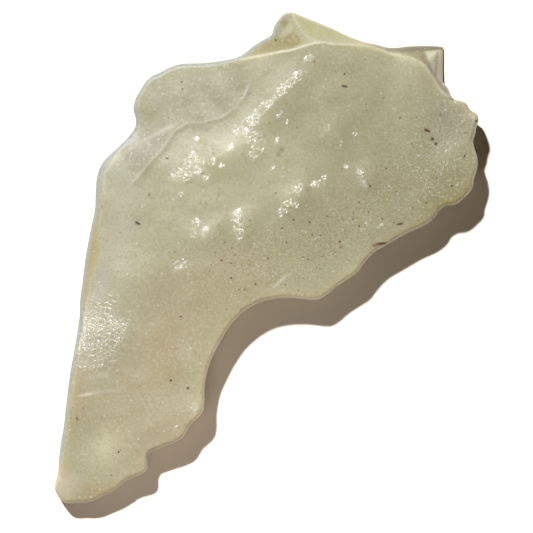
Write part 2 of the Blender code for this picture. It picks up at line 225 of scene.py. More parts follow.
# ---------------------------------------------------------------- the form of its faces
RIM_OVER, RIM_UNDER = 0.25, 0.45  # glass above and below the edge's own height
CHAMFER = 0.35  # width of the worn chamfer round the upper face
CHAMFER_WIDTHS, CHAMFER_HEIGHTS = (0, 0.12, 0.3, 0.6, 1), (0.1, 0.38, 0.62, 0.85, 1)
EDGE_FALL, EDGE_DROP = 4.0, 0.08  # how far in the upper face starts to fall, and its share there
KEEL_REACH, KEEL_POWER = 7.0, 1.35  # how the underside comes down to the ground
KEEL_CENTRE, KEEL_RADIUS, KEEL_RISE = (-1.5, 6.5), 20.0, 1.1  # the underside's slight bow
GROUND_SINK = 0.4  # how far the bow would go below the ground, where the stone is worn flat
UNDER_FADE = 1.8  # how far in the underside's scars reach their full depth
LEAST_THICKNESS = 0.5
PLACE_REACH = 5.5  # how far each of the places below has its say

# Places on the stone: x, y, height of the upper face there, height of the nearest edge.
PLACES = {
    "tip": (-26.2, -30.2, 4.2, 1.7),
    "low_arm": (-19.1, -23.7, 6.0, 2.2),
    "arm": (-16.5, -14.6, 6.4, 4.4),
    "arm_left": (-22.3, -9.4, 5.9, 3.9),
    "arm_inner": (-8.5, -15.0, 6.6, 5.8),
    "left_shoulder": (-19.1, 2.3, 6.2, 3.4),
    "lobe": (-13.9, 20.5, 5.7, 3.5),
    "shoulder": (-10.0, 6.2, 7.3, 4.6),
    "ridge": (-3.5, 14.0, 7.9, 4.6),
    "centre": (4.3, 7.5, 8.2, 5.2),
    "bay": (-0.9, -1.6, 7.0, 5.2),
    "front": (8.2, -1.6, 6.9, 5.5),
    "back_rim": (8.2, 25.7, 8.1, 3.2),
    "right_back": (19.0, 23.5, 8.0, 1.2),
    "back_block": (22.6, 27.4, 6.6, 0.4),
    "block_side": (23.4, 23.8, 7.4, -1.6),
    "right_corner": (26.8, 18.4, 7.1, 5.6),
    "right_end": (25.1, 13.0, 7.3, 6.0),
    "right_front": (22.3, 5.6, 6.9, 4.5),
}

# Long low swells in the upper face: x, y, heading in degrees, length, width, height.
SWELLS = [
    (1.2, 20.3, 46, 9.5, 2.2, 0.42),
    (-5.2, 13.0, 28, 7.5, 2.4, 0.50),
    (3.6, 7.4, 55, 5.0, 1.9, 0.36),
    (-3.0, 3.9, 78, 4.4, 1.6, 0.34),
    (-7.2, 3.0, 64, 4.0, 1.7, 0.26),
    (13.4, 10.6, 62, 4.2, 1.9, 0.30),
    (9.0, 16.4, 60, 6.0, 2.0, 0.22),
    (-19.6, -11.4, 70, 6.0, 3.4, 0.12),
    (-15.6, -2.6, 80, 7.0, 2.4, 0.22),
    (-12.5, -21.0, 60, 6.0, 2.6, 0.18),
    (-24.2, -3.6, 80, 12.0, 4.5, -0.9),
]

# Flake scars, struck off as shallow dishes: x, y, radius, depth.
UPPER_SCARS = [
    (-19.0, 2.4, 3.4, 0.14),
    (-20.6, -24.0, 4.6, 0.30),
    (24.6, 15.4, 3.6, 0.30),
    (8.6, -1.6, 3.6, 0.22),
    (-10.6, -17.8, 3.2, 0.22),
]
UNDER_SCARS = [
    (24.0, 11.5, 7.5, 1.3),
    (15.5, 3.5, 7.0, 1.3),
    (6.5, -2.5, 6.0, 1.1),
    (-3.6, -5.0, 6.4, 1.2),
    (-10.0, -15.5, 5.5, 1.0),
    (-17.0, -27.0, 5.0, 0.8),
    (-25.0, -19.0, 5.2, 0.9),
    (-23.5, -6.0, 7.4, 1.2),
    (-20.5, 8.0, 7.2, 1.3),
    (-13.5, 20.0, 6.2, 1.2),
    (-2.5, 25.0, 6.6, 1.1),
    (9.0, 25.5, 5.2, 1.0),
    (19.0, 22.5, 6.4, 1.1),
    (8.5, 17.5, 4.6, 0.7),
    (-11.5, 1.5, 3.6, 0.6),
]
SCAR_DRIFT = [(9.0, 3.4), (3.5, 0.7)]  # how far the scars' outlines wander: wavelength, distance
UPPER_SCAR_SEED, UNDER_SCAR_SEED = 21.4, 31.9
SCAR_WEAR = 0.09  # how softly one scar meets the next
CREST_DROP, CREST_WIDTH, CREST_RECOVERY, CREST_TAPER = 0.22, 0.9, 4.2, 3.0
BACK_START, BACK_LIP, BACK_HOLLOW = -6.5, 0.45, 0.8  # first x, share of a crest's drop, hollowness

# The long bevel down the left side: a line of x, y and the bevel's width there.
LEFT_BEVEL = [
    (-17.2, 18.2, 0.3), (-22.0, 11.0, 0.8), (-22.4, 6.2, 0.8), (-22.9, 3.4, 1.2),
    (-23.5, 0.5, 1.9), (-24.0, -3.1, 1.1), (-25.1, -12.2, 0.5), (-26.5, -22.0, 0.5),
    (-27.3, -28.4, 0.5),
]
LEFT_BEVEL_DROP = 0.35

# Low relief: size of the lumps, their height.
UPPER_LUMPS, UPPER_SEED = [(7.5, 0.14), (2.8, 0.07)], 3.7
UNDER_LUMPS, UNDER_SEED = [(9.0, 0.75), (3.4, 0.25)], 11.3

# Wind-blown sand has frosted most of the skin. Fresh glossy patches are left on the sunny walls of
# its dents: x, y, heading, length, width and strength of each.
GLOSSY = [
    # a long streak down from the back rim
    (5.5, 25.7, 50, 1.2, 0.50, 1.0),
    (3.9, 23.2, 50, 2.6, 0.55, 1.0),
    (2.2, 21.7, 45, 2.6, 0.60, 1.0),
    (0.4, 19.9, 50, 1.8, 0.50, 0.7),
    (-0.9, 18.9, 56, 2.2, 0.60, 0.9),
    (-2.4, 16.9, 40, 2.4, 0.80, 1.0),
    (-3.8, 16.7, 60, 1.4, 0.60, 0.9),
    (1.7, 18.6, 70, 1.6, 0.50, 0.6),
    (2.5, 17.4, 60, 1.1, 0.45, 0.6),
    (-0.9, 14.6, 80, 2.2, 0.60, 1.0),
    (-2.0, 15.5, 70, 1.8, 0.60, 1.0),
    (-1.6, 13.4, 70, 2.0, 0.65, 1.0),
    (1.5, 15.1, 60, 1.2, 0.45, 0.5),
    # dents below the crest of the lobe
    (-4.7, 14.1, 30, 1.0, 0.45, 0.8),
    (-5.8, 11.8, 60, 1.0, 0.45, 0.8),
    (-7.1, 12.2, 75, 1.4, 0.45, 0.7),
    (-7.9, 10.4, 50, 1.3, 0.45, 0.8),
    (-8.7, 11.6, 70, 1.8, 0.50, 0.9),
    (-9.8, 12.4, 75, 2.2, 0.75, 1.0),
    (-10.2, 10.9, 60, 1.8, 0.70, 1.0),
    (-11.8, 10.7, 48, 1.6, 0.60, 0.9),
    (-9.2, 15.2, 30, 0.9, 0.35, 0.6),
    (-11.3, 8.0, 60, 1.2, 0.45, 0.6),
    # the middle
    (0.7, 11.6, 60, 0.9, 0.35, 0.7),
    (4.2, 8.8, 50, 1.5, 0.45, 0.8),
    (6.2, 9.3, 40, 1.2, 0.45, 0.8),
    (7.4, 10.3, 50, 1.2, 0.40, 0.7),
    (2.3, 6.2, 50, 2.6, 0.65, 1.0),
    (3.9, 6.6, 60, 1.0, 0.40, 0.8),
    (-3.9, 5.0, 80, 2.4, 0.55, 1.0),
    (-3.6, 3.2, 95, 2.2, 0.55, 1.0),
    (-9.2, 4.3, 65, 1.6, 0.45, 0.8),
    (-8.1, 3.2, 70, 1.5, 0.50, 0.8),
    (-9.6, 2.8, 60, 0.9, 0.40, 0.8),
    (-11.3, -1.1, 30, 2.2, 0.70, 0.9),
    # the right part, and the inner edge of the arm
    (12.3, 10.1, 108, 2.4, 0.50, 1.0),
    (11.5, 16.1, 60, 1.4, 0.45, 0.6),
    (9.5, 14.7, 30, 1.2, 0.45, 0.5),
    (10.3, 11.6, 50, 1.2, 0.45, 0.5),
    (8.1, 16.6, 60, 1.2, 0.40, 0.5),
    (14.6, 4.1, 30, 1.8, 0.45, 0.7),
    (12.8, 4.0, 30, 1.3, 0.45, 0.5),
    (-9.4, -19.6, 80, 1.8, 0.45, 0.5),
    (-11.6, -21.6, 60, 1.8, 0.45, 0.5),
]
# Patches of small pits with a web of raised lines between them, on the arm's left side.
WEB = [
    (-21.2, -9.8, 78, 9.0, 2.6, 0.45),
    (-23.3, -10.3, 80, 3.2, 1.0, 0.9),
    (-23.1, -11.6, 10, 3.0, 0.6, 0.9),
    (-23.0, -7.0, 60, 1.8, 0.6, 0.8),
    (-19.1, -9.1, 40, 2.2, 0.8, 0.9),
    (-21.3, -11.6, 60, 1.8, 0.7, 0.7),
    (-20.5, -12.9, 20, 2.2, 0.7, 0.7),
    (-19.6, -11.3, 70, 2.4, 0.7, 0.6),
    (-20.8, -7.6, 120, 3.4, 0.8, 0.6),
    (-19.8, -5.4, 0, 2.2, 0.9, 0.5),
    (-22.7, -14.2, 5, 4.6, 0.7, 0.7),
    (-17.4, -6.6, 70, 2.4, 0.8, 0.4),
]


def smooth_step(x):
    """0 up to 0, 1 from 1 on, and a smooth rise between."""
    x = np.clip(x, 0, 1)
    return x * x * (3 - 2 * x)


def soft_inset(points, path):
    """How deep inside the edge each point lies, as a smooth field with no creases.

    It sums 1 / distance^4 along the edge, which for an endless straight edge comes to
    (pi / 2) / distance^3.
    """
    steps = np.diff(path, axis=0)
    lengths = np.hypot(steps[:, 0], steps[:, 1])
    middles = path[:-1] + steps / 2
    total = np.zeros(len(points))
    for middle, length in zip(middles, lengths):
        squared = ((points - middle) ** 2).sum(axis=1) + (length / 2) ** 2
        total += length / squared**2
    return (total / (math.pi / 2)) ** (-1 / 3)


def place_blend(points, column):
    """A value of PLACES, blended smoothly over the stone."""
    total = np.zeros(len(points))
    weights = np.zeros(len(points))
    for place in PLACES.values():
        squared = ((points - place[:2]) ** 2).sum(axis=1)
        weight = np.exp(-squared / (2 * PLACE_REACH**2)) + 1e-9
        total += weight * place[column]
        weights += weight
    return total / weights


def lumps(points, sizes, seed):
    """Low rolling relief: a sum of smooth noise of the given sizes and heights."""
    height = np.zeros(len(points))
    for size, amount in sizes:
        for i, (x, y) in enumerate(points):
            height[i] += amount * noise.noise(Vector((x / size, y / size, seed)))
    return height


def scars(points, dishes, seed):
    """How much the flake scars take off. Their outlines wander, and the ridges between are worn."""
    drift = np.column_stack([lumps(points, SCAR_DRIFT, seed), lumps(points, SCAR_DRIFT, seed + 5)])
    total = np.ones(len(points))
    for x, y, radius, depth in dishes:
        away = points + drift - (x, y)
        inside = depth * (1 - (away**2).sum(axis=1) / radius**2)
        total += np.exp(np.maximum(inside, -10 * SCAR_WEAR) / SCAR_WEAR)
    return SCAR_WEAR * np.log(total)


def hills(points, table):
    """The sum of long low hills, each with x, y, heading, length, width and height."""
    raised = np.zeros(len(points))
    for x, y, heading, length, width, height in table:
        turn = math.radians(heading)
        dx, dy = points[:, 0] - x, points[:, 1] - y
        along = dx * math.cos(turn) + dy * math.sin(turn)
        across = -dx * math.sin(turn) + dy * math.cos(turn)
        raised += height * np.exp(-((2 * along / length) ** 2) - (across / width) ** 2)
    return raised


def crest(points, line):
    """The drop on a crest's right-hand side: steep at the line, recovered further out."""
    distance, side, reached = line_distance(points, np.array(line))
    out = np.where(side < 0, distance, 0)
    fade = smooth_step(np.minimum(reached, reached.max() - reached) / CREST_TAPER)
    return fade * CREST_DROP * (1 - np.exp(-out / CREST_WIDTH)) * np.exp(-out / CREST_RECOVERY)


points = level_points(gridded)
share = np.clip(points[:, 2] / SLAB_THICKNESS + 0.5, 0, 1)
points = points[:, :2]
inset = line_distance(points, edge)[0]
depth = soft_inset(points, edge)
rim = place_blend(points, 3)

# the upper face
top = place_blend(points, 2) + hills(points, SWELLS) + lumps(points, UPPER_LUMPS, UPPER_SEED)
top -= scars(points, UPPER_SCARS, UPPER_SCAR_SEED)
top -= crest(points, LOBE_CREST) + BACK_LIP * crest(points, BACK_RIM)
bevel_line = np.array([place[:2] for place in LEFT_BEVEL])
bevel_widths = np.array([place[2] for place in LEFT_BEVEL])
bevel_width = np.interp(-points[:, 1], -bevel_line[:, 1], bevel_widths)
bevel = smooth_step(1 - line_distance(points, bevel_line)[0] / bevel_width)
top -= LEFT_BEVEL_DROP * bevel * (top - rim)
top -= EDGE_DROP * (1 - smooth_step(depth / EDGE_FALL)) * (top - rim - RIM_OVER)

# the broken back: straight fracture faces from the upper face's rim down to the edge
rim_distance, rim_side, _ = line_distance(points, np.array(BACK_RIM))
behind = (points[:, 0] > BACK_START) & (rim_side > 0)
fallen = rim_distance / (rim_distance + inset + 1e-6)
fallen = top + (rim + RIM_OVER - top) * fallen**BACK_HOLLOW
top = np.where(behind, fallen, top)
top = np.maximum(top, rim + RIM_OVER)
top = rim + (top - rim) * np.interp(inset / CHAMFER, CHAMFER_WIDTHS, CHAMFER_HEIGHTS)

# the underside: a bowed keel of flake scars, worn flat where the stone rests
out = np.hypot(points[:, 0] - KEEL_CENTRE[0], points[:, 1] - KEEL_CENTRE[1])
ground = KEEL_RISE * smooth_step(out / KEEL_RADIUS) - GROUND_SINK
keel = ground + (rim - RIM_UNDER - ground) * (1 - np.clip(depth / KEEL_REACH, 0, 1)) ** KEEL_POWER
under = lumps(points, UNDER_LUMPS, UNDER_SEED) + scars(points, UNDER_SCARS, UNDER_SCAR_SEED)
low = np.maximum(keel + under * np.clip(inset / UNDER_FADE, 0, 1), 0)
high = np.maximum(top, low + LEAST_THICKNESS)

shaped = np.column_stack([points, low + (high - low) * share])
low_corner, high_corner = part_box("desert_glass")
middle = (shaped.min(axis=0) + shaped.max(axis=0)) / 2
shaped[:, :2] += np.array((low_corner + high_corner).xy) / 2 / MM - middle[:2]
gridded.vertices.foreach_set("co", (shaped * MM).ravel())
gridded.update()
gridded.shade_smooth()

# ---------------------------------------------------------------- where its skin differs
# Patches thick with specks, and patches with a coarser, more bruised grain: x, y, heading, length,
# width and strength of each.
SPECKLED = [
    (-1.5, 0.0, 30, 14, 4.0, 1.0),
    (9.0, 3.5, 30, 14, 4.0, 1.0),
    (20.0, 13.0, 60, 18, 5.0, 0.8),
]
GRAINY = [
    (24.0, 13.5, 80, 14, 4.5, 1.0),
    (9.0, -1.5, 30, 14, 3.0, 0.6),
    (18.0, 9.0, 30, 18, 4.5, 0.6),
]

# The colour of the glass differs from place to place, with its thickness, its bubbles and its wear,
# and two are a painted sheen round the glints: colour, x, y, heading, length, width and strength of
# each soft patch.
GLASS_YELLOW = "#a09d7f"
TINTS = [
    ("#9b9474", 12.0, 8.0, 30, 26, 8.0, 0.7),
    ("#979271", 10.0, 17.5, 20, 16, 5.0, 0.7),
    ("#9d9371", -4.0, -3.0, 30, 14, 4.0, 0.8),
    ("#998b69", -14.5, -12.0, 70, 22, 5.0, 0.9),
    ("#a0967a", -15.0, -23.0, 40, 12, 5.0, 0.8),
    ("#9e997c", -19.5, -9.0, 78, 14, 4.0, 0.7),
    ("#867c60", -21.3, -9.6, 78, 11, 3.4, 0.8),
    ("#96967f", -20.0, 10.6, 50, 6, 2.2, 0.9),
    ("#b2af9b", -19.6, 3.0, 80, 14, 3.2, 0.9),
    ("#a9a58d", -10.0, 6.0, 70, 12, 4.0, 0.6),
    ("#abaa8a", -4.5, 12.5, 40, 14, 3.4, 0.7),
    # these two lighten the ground round the glints: a painted sheen
    ("#a8a686", -8.5, 11.5, 20, 6, 1.8, 0.8),
    ("#a8a686", -0.5, 17.5, 55, 8, 1.6, 0.7),
    ("#b8b597", -20.7, -24.2, 70, 5, 1.9, 1.0),
    ("#b2a895", -26.0, -29.8, 60, 5, 1.6, 0.9),
    ("#9c8868", -22.3, -30.3, 10, 5, 1.0, 0.6),
    ("#a19272", -24.0, -18.5, 80, 9, 1.0, 0.7),
    ("#8b8571", 24.4, 17.4, 100, 9, 3.2, 0.8),
    ("#8c8660", 22.4, 9.6, 40, 14, 4.2, 0.9),
    ("#84762c", 24.2, 7.2, 38, 7.0, 1.3, 1.0),
    ("#a19876", 18.5, 24.0, -20, 8, 1.2, 0.7),
    ("#96936f", 12.8, 24.8, -3, 12, 1.6, 0.9),
    ("#aba889", -1.8, 8.8, 20, 9, 2.6, 0.7),
]
# Patches with an edge of their own: colour, softness of the edge, and the corners as x, y.
FACETS = [
    # the frosted lobe above the crest
    ("#949174", 0.5, [
        (-22.5, 16.0), (-19.4, 13.1), (-17.6, 11.2), (-15.9, 11.4), (-15.0, 12.5), (-13.3, 14.4),
        (-11.8, 16.6), (-10.4, 17.4), (-8.4, 17.5), (-5.8, 18.2), (-4.1, 19.4), (-2.9, 21.0),
        (-2.2, 22.8), (-2.6, 25.0), (-8.0, 28.0), (-24.0, 28.0),
    ]),
    ("#847f64", 1.2, [
        (-19.8, 13.6), (-17.6, 11.2), (-15.9, 11.2), (-15.0, 12.5), (-13.3, 14.4), (-12.2, 16.4),
        (-15.0, 16.6), (-18.0, 15.4),
    ]),
    ("#898665", 1.5, [
        (-12.0, 17.0), (-8.4, 17.7), (-5.8, 18.4), (-4.3, 19.6), (-3.1, 21.2), (-2.6, 23.4),
        (-6.0, 25.4), (-10.5, 23.5),
    ]),
    # the wide frosted band round the shoulder
    ("#a4a39d", 0.35, [
        (-16.7, 15.3), (-19.4, 13.6), (-20.6, 12.3), (-21.1, 10.8), (-21.5, 8.8), (-22.0, 6.9),
        (-23.5, 7.0), (-23.5, 12.0), (-20.0, 15.0), (-17.5, 17.0),
    ]),
    # the tan wedge and the grey band down the shoulder's left edge
    ("#a99d78", 0.5, [
        (-22.2, 5.1), (-21.9, 3.5), (-21.8, 1.6), (-22.1, -0.5), (-22.9, -2.9), (-23.6, -5.3),
        (-25.0, -5.3), (-24.5, 0.0), (-23.5, 4.0),
    ]),
    ("#a9a293", 0.5, [
        (-21.0, -0.6), (-20.5, -3.0), (-21.4, -5.6), (-23.2, -5.6), (-22.2, -3.0),
    ]),
    # the peak: a grey facet with a dull spot, a yellow one, and the olive hollow below them; partly
    # their own colours, partly the painted light and shade of facets that the even back wall lacks
    ("#918f7a", 0.25, [
        (0.5, 29.2), (1.2, 31.0), (2.1, 32.4), (3.2, 32.3), (3.3, 31.2), (2.3, 29.9), (1.6, 28.8),
    ]),
    ("#847c58", 0.3, [(1.6, 30.6), (2.1, 31.2), (2.9, 30.6), (2.2, 29.8)]),
    ("#a8a57d", 0.35, [
        (4.3, 30.6), (5.6, 30.8), (8.6, 29.4), (12.6, 28.0), (8.3, 28.1), (6.2, 28.4), (4.9, 29.2),
    ]),
    ("#8d855b", 0.3, [
        (-2.8, 26.8), (0.6, 28.9), (2.0, 28.6), (3.6, 29.6), (4.6, 27.9), (3.4, 27.1),
        (-0.2, 26.5), (-2.6, 26.2),
    ]),
    # the corner block: dull olive with darker edges, painted shade in the valley by the rim, a painted
    # bright window where light comes through, and an end painted lighter as a lit facet
    ("#7a724a", 0.25, [
        (12.8, 27.6), (16.4, 28.4), (23.6, 28.4), (23.6, 20.8), (22.4, 22.4), (20.8, 24.8),
        (19.0, 25.9), (16.4, 26.8),
    ]),
    ("#565033", 0.25, [
        (15.2, 27.6), (22.6, 27.8), (22.6, 27.1), (21.2, 27.1), (18.8, 26.7), (15.8, 26.8),
    ]),
    # painted shade in the valley beside the rim
    ("#776d45", 0.2, [
        (19.4, 25.9), (20.6, 25.2), (21.5, 24.0), (22.3, 22.5), (23.4, 21.3), (23.9, 21.3),
        (22.7, 22.9), (21.7, 24.6), (20.5, 26.1), (19.5, 26.5),
    ]),
    # a painted bright window where light comes through, then the end painted lighter as a lit facet
    ("#d0cdb2", 0.2, [(22.3, 27.0), (23.3, 27.0), (23.3, 22.4), (22.1, 23.2)]),
    ("#bfc0a8", 0.2, [(20.5, 26.8), (22.1, 27.0), (22.0, 25.3), (21.8, 23.9), (21.1, 25.3)]),
]
# A pale glass colour for bruises, white flecks and spots, and for painted highlights and sheen.
PALE_BRUISE_AND_HIGHLIGHT = "#d6d3c8"
# Pale lines, bruises and painted highlights of lit crests and edges: strength, half-width, the line.
BRUISES_AND_HIGHLIGHTS = [
    # painted highlights, with some wear, along the lit crests, the rim above the back and the peak's
    # arris
    (0.35, 0.16, LOBE_CREST),
    (0.30, 0.30, [(-21.4, 11.8), (-19.4, 13.1), (-16.7, 14.8), (-11.8, 17.3)]),
    (0.28, 0.14, BACK_RIM[:-1]),
    (0.30, 0.16, [(3.1, 32.0), (4.6, 29.3), (5.6, 28.3), (6.8, 27.9)]),
    # bruises of the skin: a crack, and a scratch in the bay
    (0.55, 0.12, [(-24.8, -18.1), (-23.9, -17.9), (-23.0, -17.7), (-21.8, -17.5)]),
    (0.25, 0.14, [(-22.8, -17.7), (-21.0, -17.4), (-19.0, -17.3)]),
    (0.18, 0.45, [(-23.6, -15.8), (-21.8, -15.2), (-20.0, -15.5)]),
    (0.62, 0.15, [(0.6, -4.2), (1.6, -3.2), (2.8, -2.1)]),
    # a painted highlight down the lit bevel of the left side
    (0.35, 0.25, [(-25.9, -17.7), (-26.5, -22.8), (-27.1, -27.8)]),
]
# A painted glow, colour, strength and reach, where light comes through the thin edges.
THIN_EDGE_GLOW, THIN_STRENGTH, THIN_WIDTH = "#bca880", 0.35, 1.1  # light comes through its thin edges
# A pale line round the rim, partly wear and partly a painted highlight of the lit edge: strength,
# half-width, and how much the pale lines break up.
RIM_WEAR_AND_HIGHLIGHT, RIM_WEAR_AND_HIGHLIGHT_WIDTH, PALE_LINE_GAPS = 0.7, 0.24, 0.9
BACK_PALE_LINE_LOSS = 0.8  # how much of the rim's pale line is missing along the right of the back
BACK_RIGHT, BACK_RIGHT_BLEND = (6.0, 26.0), 3.0  # the corner of that part
PALE_LINE_ENDS = 0.3  # strength of a pale line at its ends
# The grey of the lamp-facing edges: partly frosting, partly a painted highlight of the lit edge.
FROSTED_LIT_RIM, FROSTED_LIT_RIM_WIDTH = "#8f9aa2", 0.50
# The frosted, lamp-facing edge lies above a line with this slope and start, and left of this x.
SUNWARD_SLOPE, SUNWARD_START, SUNWARD_BLEND, SUNWARD_LEFT_OF = 0.95, -4.0, 5.0, 3.0
TINT_DRIFT, TINT_SEED = [(2.6, 0.9), (1.0, 0.35)], 51.7  # wavelength, distance
FACET_DRIFT, GLOSSY_DRIFT, WEB_DRIFT = 0.15, 0.15, 0.3  # shares of it
GLOSSY_GAIN = 1.9


def linear(colour):
    """The linear value of an sRGB hex colour, with alpha 1."""
    parts = [int(colour[i : i + 2], 16) / 255 for i in (1, 3, 5)]
    return [p / 12.92 if p <= 0.04045 else ((p + 0.055) / 1.055) ** 2.4 for p in parts] + [1.0]


def inside_of(points, corners, softness):
    """1 inside the corners, 0 outside, and a smooth step of this softness between."""
    ring = np.array(corners + corners[:1])
    crossings = np.zeros(len(points), int)
    for (ax, ay), (bx, by) in zip(ring, ring[1:]):
        if ay == by:
            continue
        spans = (points[:, 1] < ay) != (points[:, 1] < by)
        crossings += spans & (points[:, 0] < ax + (points[:, 1] - ay) * (bx - ax) / (by - ay))
    distance = line_distance(points, ring)[0] * np.where(crossings % 2, 1, -1)
    return smooth_step(distance / softness / 2 + 0.5)


def skin_value(name, values):
    """Keeps a value for each point of the skin, under a name that the material reads."""
    attribute = gridded.attributes.new(name, "FLOAT", "POINT")
    attribute.data.foreach_set("value", values.astype(np.float32))


upward = (share > 0.5).astype(float)
drift = np.column_stack(
    [lumps(points, TINT_DRIFT, TINT_SEED), lumps(points, TINT_DRIFT, TINT_SEED + 5)]
)
skin_colour = np.tile(linear(GLASS_YELLOW), (len(points), 1))
# 1 along the left side and the lobe, the edges facing the key lamp and frosted by sand, and 0 elsewhere
sunward_edges = points[:, 1] - points[:, 0] * SUNWARD_SLOPE - SUNWARD_START
sunward_edges = smooth_step(sunward_edges / SUNWARD_BLEND) * smooth_step(1 - points[:, 0] / SUNWARD_LEFT_OF)
# A painted glow along the edges away from the lamp-facing side, where light comes through thin glass.
thin = THIN_STRENGTH * np.exp(-((inset / THIN_WIDTH) ** 2)) * (1 - sunward_edges)
skin_colour += thin[:, None] * (np.array(linear(THIN_EDGE_GLOW)) - skin_colour)
for colour, *patch, strength in TINTS:
    amount = strength * hills(points + drift, [(*patch, 1.0)])[:, None]
    skin_colour += amount * (np.array(linear(colour)) - skin_colour)
for colour, softness, corners in FACETS:
    amount = (inside_of(points + FACET_DRIFT * drift, corners, softness) * upward)[:, None]
    skin_colour += amount * (np.array(linear(colour)) - skin_colour)
# Pale lines: bruises, with painted highlights round the rim and along the crests and the left bevel.
bruises_and_highlights = RIM_WEAR_AND_HIGHLIGHT * np.exp(-((inset / RIM_WEAR_AND_HIGHLIGHT_WIDTH) ** 2)) * smooth_step(share / 0.5)
back_right = smooth_step((points[:, 0] - BACK_RIGHT[0]) / BACK_RIGHT_BLEND)
back_right *= smooth_step(points[:, 1] - BACK_RIGHT[1])
bruises_and_highlights *= 1 - BACK_PALE_LINE_LOSS * back_right
for strength, width, pale_line in BRUISES_AND_HIGHLIGHTS:
    distance, _, reached = line_distance(points, np.array(pale_line))
    fade = smooth_step(np.minimum(reached, reached.max() - reached))
    fade = (fade * (1 - PALE_LINE_ENDS) + PALE_LINE_ENDS) * (1 + PALE_LINE_GAPS * drift[:, 1])
    bruises_and_highlights = np.maximum(bruises_and_highlights, strength * fade * np.exp(-((distance / width) ** 2)) * upward)
skin_colour += bruises_and_highlights[:, None] * (np.array(linear(PALE_BRUISE_AND_HIGHLIGHT)) - skin_colour)
# The lamp-facing edges turn grey: partly frosting, partly a painted highlight.
frosted = sunward_edges * np.exp(-((inset / FROSTED_LIT_RIM_WIDTH) ** 2)) * smooth_step(share / 0.5)
skin_colour += frosted[:, None] * (np.array(linear(FROSTED_LIT_RIM)) - skin_colour)
attribute = gridded.attributes.new("skin_colour", "FLOAT_COLOR", "POINT")
attribute.data.foreach_set("color", skin_colour.astype(np.float32).ravel())
glossy_patches = GLOSSY_GAIN * hills(points + GLOSSY_DRIFT * drift, GLOSSY)
skin_value("glossy", np.clip(glossy_patches, 0, 1) * upward)
skin_value("web", np.clip(hills(points + WEB_DRIFT * drift, WEB), 0, 1) * upward)
skin_value("speckled", np.clip(hills(points + drift, SPECKLED), 0, 1))
skin_value("grainy", np.clip(hills(points + drift, GRAINY), 0, 1) * upward)

# ---------------------------------------------------------------- low relief of the skin
# The middle of the upper face is softly dented, and the whole skin has a shallow grain.
DENT_SIZE, DENT_DEPTH = 1.9, 0.10
LEAST_DENTED, UNDER_DENTED = 0.08, 0.5  # shares of that depth outside the middle, and below
GRAIN_SIZE, GRAIN_DEPTH = 0.7, 0.03
GROUND_CLEAR, EDGE_CLEAR = (0.05, 0.4), 0.5  # the relief fades out towards the ground and the edge
DENTED = [
    (-3.5, 13.0, 35, 26, 6.5, 1.0),
    (-8.5, 3.0, 10, 16, 3.0, 0.7),
    (3.0, 7.0, 35, 8, 2.5, 0.8),
]


def skin_group(name, weights):
    """A vertex group of the stone with these weights."""
    group = stone.vertex_groups.new(name=name)
    for index in np.flatnonzero(weights > 0.01):
        group.add([int(index)], float(weights[index]), "REPLACE")


def relief(name, size, height, group):
    """Moves the skin in and out by a cloudy pattern, as much as the group's weights say."""
    pattern = bpy.data.textures.new(name, "CLOUDS")
    pattern.noise_scale = size * MM
    pattern.noise_depth = 1
    moved = stone.modifiers.new(name, "DISPLACE")
    moved.texture = pattern
    moved.texture_coords = "LOCAL"
    moved.strength = height * MM
    moved.mid_level = 0.5
    moved.vertex_group = group


above_ground = smooth_step((shaped[:, 2] - GROUND_CLEAR[0]) / GROUND_CLEAR[1])
free = above_ground * smooth_step(inset / EDGE_CLEAR)
dented = np.clip(hills(points, DENTED), 0, 1)
dented = np.where(share > 0.5, LEAST_DENTED + (1 - LEAST_DENTED) * dented, UNDER_DENTED)
skin_group("dented", free * dented)
skin_group("grained", free)
relief("dents", DENT_SIZE, DENT_DEPTH, "dented")
relief("grain", GRAIN_SIZE, GRAIN_DEPTH, "grained")


# ================================================================ its glass
# Natural silica glass, 98% pure, milky with tiny bubbles: pale yellow with a green cast, and
# see-through only for a few millimetres. Sand has frosted its skin, which breaks up reflections,
# except in the fresh patches, where ripples and pits catch the light.
GLASS_IOR = 1.462
CLOUDY_GLASS = "#b3af98"
CLEAR_GLASS = "#8b865f"
SPECK_BROWN = "#4e2a0a"
SPECK_RUST = "#7a4a22"
ABSORBED, ABSORPTION = "#d2c692", 60.0  # what is left of white light, and how fast, per metre
MIX_A, MIX_B, MIX_RESULT = 6, 7, 2  # sockets of a Mix node for colours
LEAN_A, LEAN_B, LEAN_RESULT = 4, 5, 1  # sockets of a Mix node for vectors
# A Map Range node's sockets: 0 takes the value, 1 and 2 the range it has, 3 and 4 the range it gets.
SMOOTH = {"interpolation_type": "SMOOTHSTEP"}

glass = bpy.data.materials.new("natural_silica_glass_sand_frosted")
glass.use_nodes = True
tree = glass.node_tree
tree.nodes.clear()


def node(kind, inputs, output=0, **settings):
    """Adds a node and gives one of its outputs. An input is a value, or an output to link to it."""
    made = tree.nodes.new(kind)
    for name, value in settings.items():
        setattr(made, name, value)
    for name, value in inputs.items():
        if isinstance(value, bpy.types.NodeSocket):
            tree.links.new(value, made.inputs[name])
        else:
            made.inputs[name].default_value = value
    return made.outputs[output] if made.outputs else None


place = node("ShaderNodeTexCoord", {}, "Object")
place = node("ShaderNodeVectorMath", {0: place, "Scale": 1 / MM}, operation="SCALE")
from_above = node("ShaderNodeVectorMath", {0: place, 1: (1.0, 1.0, 0.0)}, operation="MULTIPLY")
skin = {
    name: node("ShaderNodeAttribute", {}, "Fac", attribute_name=name)
    for name in ("glossy", "web", "speckled", "grainy")
}

